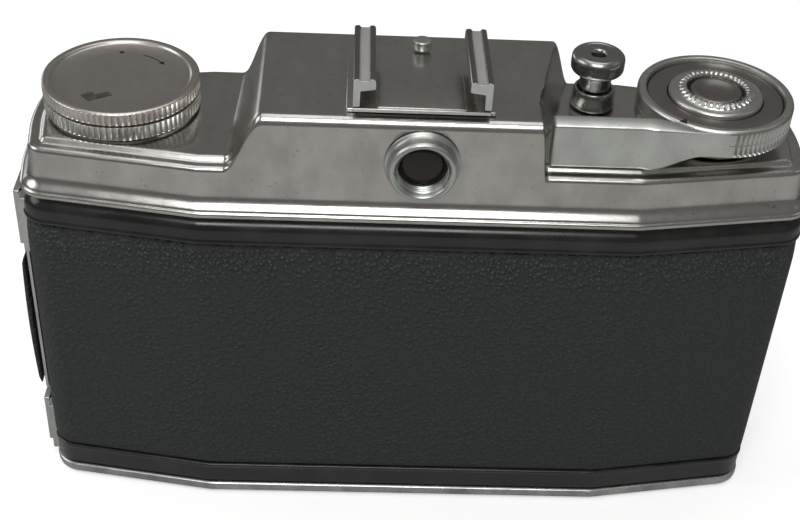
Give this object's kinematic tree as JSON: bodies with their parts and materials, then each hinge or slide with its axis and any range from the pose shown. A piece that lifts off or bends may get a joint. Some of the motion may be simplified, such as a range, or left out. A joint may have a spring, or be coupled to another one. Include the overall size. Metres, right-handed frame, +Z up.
{
  "type": "stereo camera",
  "caption": "Compact stereo film camera with paired lenses, a stepped chrome top cover, a hinged leather-covered rear door, a wind lever, a rewind knob and an accessory shoe.",
  "frame": {"origin": "middle of the bottom plate's flat underside", "axes": "+X to the viewer's left, along the camera's length; +Y out of the rear door, away from the subject; +Z up"},
  "size_m": [0.1323, 0.0446, 0.0851],
  "materials": {
    "chrome": "satin chrome plate with polished edges",
    "satin_metal": "satin plated sheet",
    "steel": "fine turned or brushed plate",
    "black_metal": "matte black, anti-reflection",
    "black_paint": "semi-gloss black enamel",
    "black_plastic": "moulded, matte",
    "dark_dial": "dark satin enamel on metal",
    "leather": "black pebbled covering",
    "glass": "coated optical glass"
  },
  "bodies": {
    "camera_body": {"body_casting": "black_metal", "mechanism_plate": "steel", "bottom_plate": "satin_metal", "tripod_bush": "steel", "top_cover": "chrome", "front_leather_left": "leather", "front_leather_right": "leather", "front_plate": "satin_metal", "lens_barrel_left": "chrome", "lens_barrel_right": "chrome", "front_element_left": "glass", "front_element_right": "glass", "rear_element_left": "glass", "rear_element_right": "glass", "film_gate": "black_metal", "finder_tube": "black_metal", "eyepiece_barrel": "chrome", "eyepiece_lens": "glass", "finder_bezel": "chrome", "finder_window": "glass", "shoe_spacer": "chrome", "shoe_base": "chrome", "shoe_rail_left": "chrome", "shoe_rail_right": "chrome", "shoe_stop_pin": "steel", "release_collar": "chrome", "release_spring": "steel", "hub_boss": "chrome", "hinge_pin": "steel", "hinge_knuckle_upper": "satin_metal", "hinge_knuckle_lower": "satin_metal", "latch_guide_upper": "satin_metal", "latch_guide_lower": "satin_metal"},
    "door": {"rear_door": "black_paint", "door_leather": "leather", "hinge_knuckle_door": "satin_metal", "pressure_spring": "steel"},
    "pressure_plate": {"pressure_plate": "black_metal"},
    "latch": {"latch_slider": "steel", "latch_grip": "leather"},
    "wind_lever": {"wind_lever": "steel", "wind_shaft": "steel", "hub_cap": "dark_dial"},
    "take_up_spool": {"take_up_spool": "black_plastic"},
    "frame_counter": {"counter_dial": "dark_dial", "counter_ring": "chrome"},
    "release_button": {"release_button": "chrome"},
    "shutter_blade_left": {"shutter_blade_left": "black_metal"},
    "shutter_blade_right": {"shutter_blade_right": "black_metal"},
    "aperture_dial": {"aperture_dial": "steel"},
    "aperture_ring_left": {"aperture_ring_left": "black_metal"},
    "aperture_ring_right": {"aperture_ring_right": "black_metal"},
    "focus_ring_left": {"focus_ring_left": "steel"},
    "focus_ring_right": {"focus_ring_right": "steel"},
    "rewind_collar": {"rewind_bush": "steel"},
    "rewind_knob": {"rewind_shaft": "steel", "rewind_knob": "steel"},
    "reminder_ring": {"reminder_ring": "steel"}
  },
  "joints": [
    {"name": "door_hinge", "type": "hinge", "parent": "camera_body", "child": "door", "pos_m": [-0.0653, 0.00115, 0.031], "axis": [0, 0, 1], "range_deg": [0, 115]},
    {"name": "pressure_plate_float", "type": "slide", "parent": "door", "child": "pressure_plate", "axis": [0, 1, 0], "range_m": [0, 0.0005], "stiffness_N_per_m": 400, "springref_m": -0.0005},
    {"name": "latch_slide", "type": "slide", "parent": "camera_body", "child": "latch", "axis": [0, 0, -1], "range_m": [0, 0.0018], "stiffness_N_per_m": 600, "springref_m": -0.0005},
    {"name": "wind_lever_swing", "type": "hinge", "parent": "camera_body", "child": "wind_lever", "pos_m": [-0.0469, 0.0016, 0.0729], "axis": [0, 0, 1], "range_deg": [0, 140], "stiffness_Nm_per_rad": 0.01, "springref_deg": -28.65},
    {"name": "take_up_spool_spin", "type": "hinge", "parent": "camera_body", "child": "take_up_spool", "pos_m": [-0.0469, 0.0016, 0.03], "axis": [0, 0, 1], "range_deg": [0, 140]},
    {"name": "frame_counter_step", "type": "hinge", "parent": "camera_body", "child": "frame_counter", "pos_m": [-0.0469, 0.0016, 0.0763], "axis": [0, 0, 1], "range_deg": [0, 12]},
    {"name": "release_press", "type": "slide", "parent": "camera_body", "child": "release_button", "axis": [0, 0, -1], "range_m": [0, 0.0022], "stiffness_N_per_m": 700, "springref_m": -0.001, "deforming": ["release_spring"]},
    {"name": "shutter_blade_left_swing", "type": "hinge", "parent": "camera_body", "child": "shutter_blade_left", "pos_m": [0.0156, -0.0112, 0.038], "axis": [0, -1, 0], "range_deg": [0, 43.5]},
    {"name": "shutter_blade_right_swing", "type": "hinge", "parent": "camera_body", "child": "shutter_blade_right", "pos_m": [-0.0156, -0.0112, 0.038], "axis": [0, 1, 0], "range_deg": [0, 43.5]},
    {"name": "aperture_dial_turn", "type": "hinge", "parent": "camera_body", "child": "aperture_dial", "pos_m": [0, -0.02, 0.0315], "axis": [0, 1, 0], "range_deg": [0, 90]},
    {"name": "aperture_ring_left_turn", "type": "hinge", "parent": "camera_body", "child": "aperture_ring_left", "pos_m": [0.024, -0.0184, 0.0315], "axis": [0, 1, 0], "range_deg": [-90, 0]},
    {"name": "aperture_ring_right_turn", "type": "hinge", "parent": "camera_body", "child": "aperture_ring_right", "pos_m": [-0.024, -0.0184, 0.0315], "axis": [0, 1, 0], "range_deg": [-90, 0]},
    {"name": "focus_ring_left_turn", "type": "hinge", "parent": "camera_body", "child": "focus_ring_left", "pos_m": [0.024, -0.0216, 0.0315], "axis": [0, 1, 0], "range_deg": [0, 120]},
    {"name": "focus_ring_right_turn", "type": "hinge", "parent": "camera_body", "child": "focus_ring_right", "pos_m": [-0.024, -0.0216, 0.0315], "axis": [0, 1, 0], "range_deg": [0, 120]},
    {"name": "rewind_turn", "type": "hinge", "parent": "camera_body", "child": "rewind_collar", "pos_m": [0.048, -0.002, 0.07], "axis": [0, 0, 1], "continuous": true},
    {"name": "rewind_lift", "type": "slide", "parent": "rewind_collar", "child": "rewind_knob", "axis": [0, 0, 1], "range_m": [0, 0.006]},
    {"name": "reminder_ring_turn", "type": "hinge", "parent": "rewind_knob", "child": "reminder_ring", "pos_m": [0.048, -0.002, 0.0716], "axis": [0, 0, 1], "continuous": true}
  ],
  "couplings": [
    {"joint": "take_up_spool_spin", "follows": "wind_lever_swing", "ratio": 1},
    {"joint": "frame_counter_step", "follows": "wind_lever_swing", "ratio": 0.08},
    {"joint": "shutter_blade_left_swing", "follows": "release_press", "rad_per_m": 340},
    {"joint": "shutter_blade_right_swing", "follows": "release_press", "rad_per_m": 340},
    {"joint": "aperture_ring_left_turn", "follows": "aperture_dial_turn", "ratio": -1},
    {"joint": "aperture_ring_right_turn", "follows": "aperture_dial_turn", "ratio": -1},
    {"joint": "focus_ring_right_turn", "follows": "focus_ring_left_turn", "ratio": 1}
  ]
}
